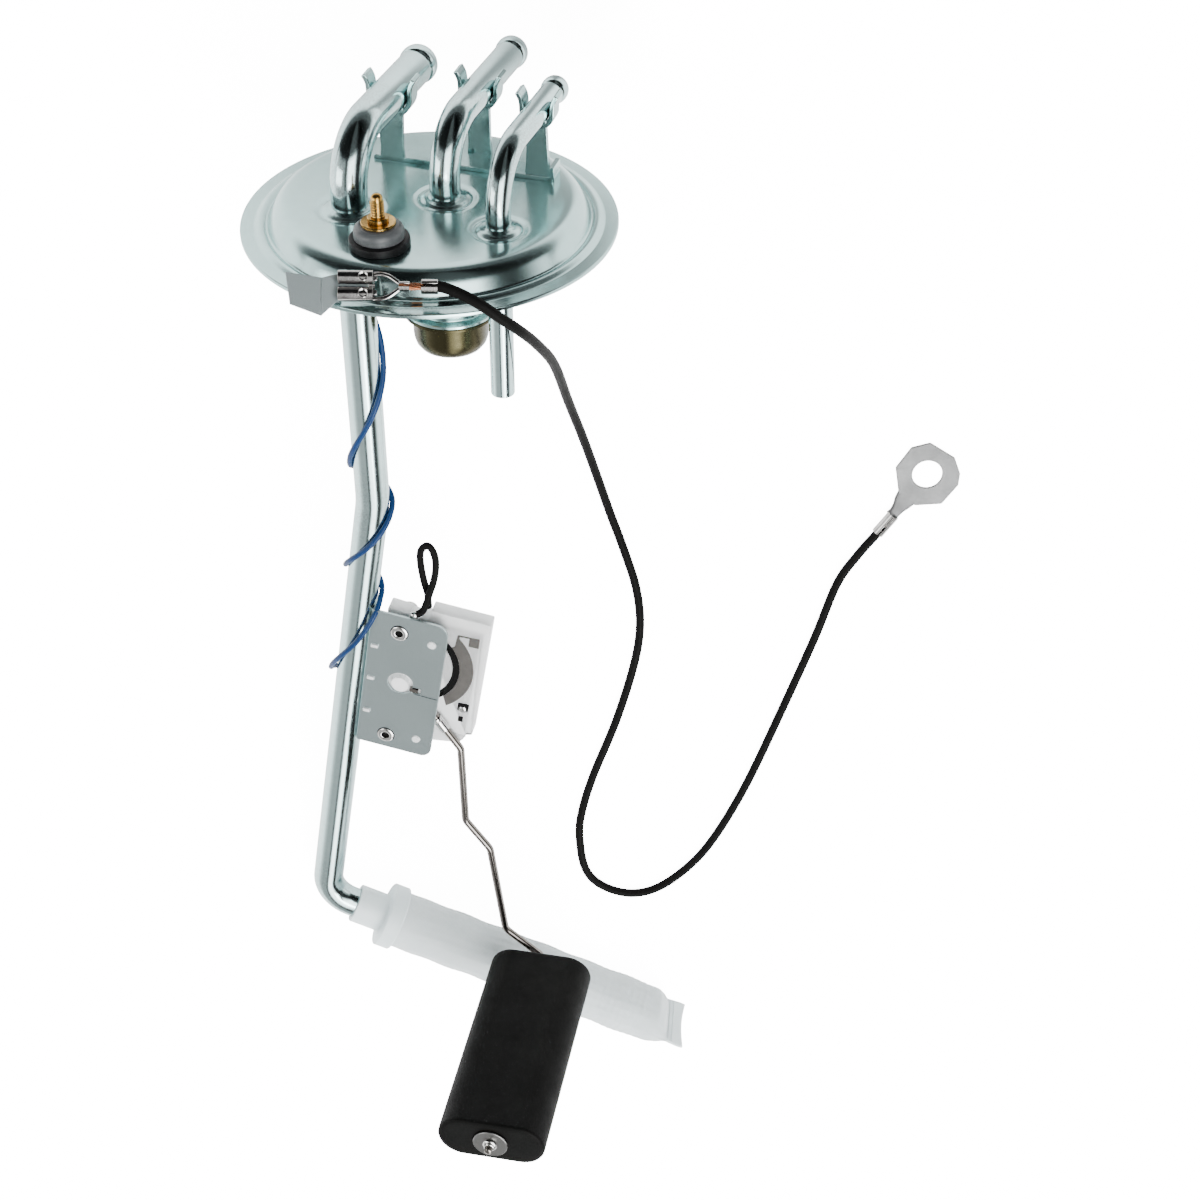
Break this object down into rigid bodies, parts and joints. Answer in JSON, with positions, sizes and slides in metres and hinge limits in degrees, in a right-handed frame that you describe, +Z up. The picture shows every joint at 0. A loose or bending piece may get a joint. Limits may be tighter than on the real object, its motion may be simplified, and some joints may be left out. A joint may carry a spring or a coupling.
{
  "type": "fuel tank sending unit",
  "caption": "Fuel tank sending unit: round steel flange with hose tubes and a stud terminal, rollover valve, strainer sock and a swinging float arm on a resistor card.",
  "frame": {"origin": "On the bench, under the middle of the unit as it lies on its back; the loose ground wire is not counted.", "axes": "+Z is up from the bench. +Y points along the unit from the strainer to the flange and its hose ends. +X points to the side to which the strainer, the float arm and the loose ground wire reach."},
  "size_m": [0.201, 0.3377, 0.101],
  "materials": {
    "zinc_steel": "zinc plated, fine grained, soft sheen",
    "sender_steel": "bare pressed sheet, satin",
    "arm_steel": "bright drawn wire, slightly dark",
    "washer_steel": "bright plated",
    "tinned": "tin plated, bright",
    "tab_steel": "plain light grey plating, matte",
    "brass": "machined, satin",
    "yellow_zinc": "yellow passivated zinc, dull",
    "copper": "bare copper alloy, satin",
    "seal_rubber": "smooth, semi-matte",
    "float_rubber": "closed-cell foam rubber, matte, fine pores",
    "grey_nylon": "moulded, slightly waxy",
    "white_plastic": "moulded, satin",
    "ceramic": "fired ceramic, matte",
    "track_ink": "printed thick film, matte",
    "black_pvc": "smooth insulation, soft gloss",
    "blue_pvc": "smooth insulation, soft gloss",
    "clear_nylon": "translucent moulded nylon",
    "mesh_nylon": "fine woven nylon mesh, white, slightly see-through"
  },
  "bodies": {
    "unit": {"mounting_flange": "zinc_steel", "supply_tube": "zinc_steel", "return_tube": "zinc_steel", "vent_tube": "zinc_steel", "tube_bracket": "zinc_steel", "terminal_stud": "brass", "stud_washer": "brass", "stud_insulator": "grey_nylon", "stud_seal": "seal_rubber", "stud_bush": "grey_nylon", "stud_nut": "brass", "signal_tag": "tinned", "ground_tab": "tab_steel", "spade_connector": "tinned", "ground_wire": "black_pvc", "ring_terminal": "tinned", "valve_can": "zinc_steel", "valve_cap": "yellow_zinc", "sender_plate": "sender_steel", "sender_housing": "white_plastic", "resistor_card": "ceramic", "card_tracks": "track_ink", "card_solder": "tinned", "sender_rivets": "tinned", "ground_spring": "copper", "signal_wire": "blue_pvc", "jumper_wire": "black_pvc", "strainer_neck": "clear_nylon", "strainer_core": "clear_nylon", "strainer_sock": "mesh_nylon", "strainer_seal": "mesh_nylon"},
    "swing_arm": {"sender_rotor": "white_plastic", "wiper": "copper", "arm_sleeve": "washer_steel", "float_arm": "arm_steel", "float_washers": "washer_steel", "arm_clip": "washer_steel"},
    "float_block": {"float": "float_rubber"},
    "check_ball": {"valve_ball": "washer_steel"}
  },
  "joints": [
    {"name": "arm_pivot", "type": "hinge", "parent": "unit", "child": "swing_arm", "pos_m": [-0.02871, -0.01548, 0.03099], "axis": [-0.1885, -0.1456, 0.9712], "range_deg": [0, 75]},
    {"name": "float_spin", "type": "hinge", "parent": "swing_arm", "child": "float_block", "pos_m": [0.00501, -0.13318, 0.06225], "axis": [-0.1885, -0.1456, 0.9712], "continuous": true},
    {"name": "ball_travel", "type": "slide", "parent": "unit", "child": "check_ball", "axis": [0, 0.984, 0.1783], "range_m": [0, 0.005]}
  ]
}
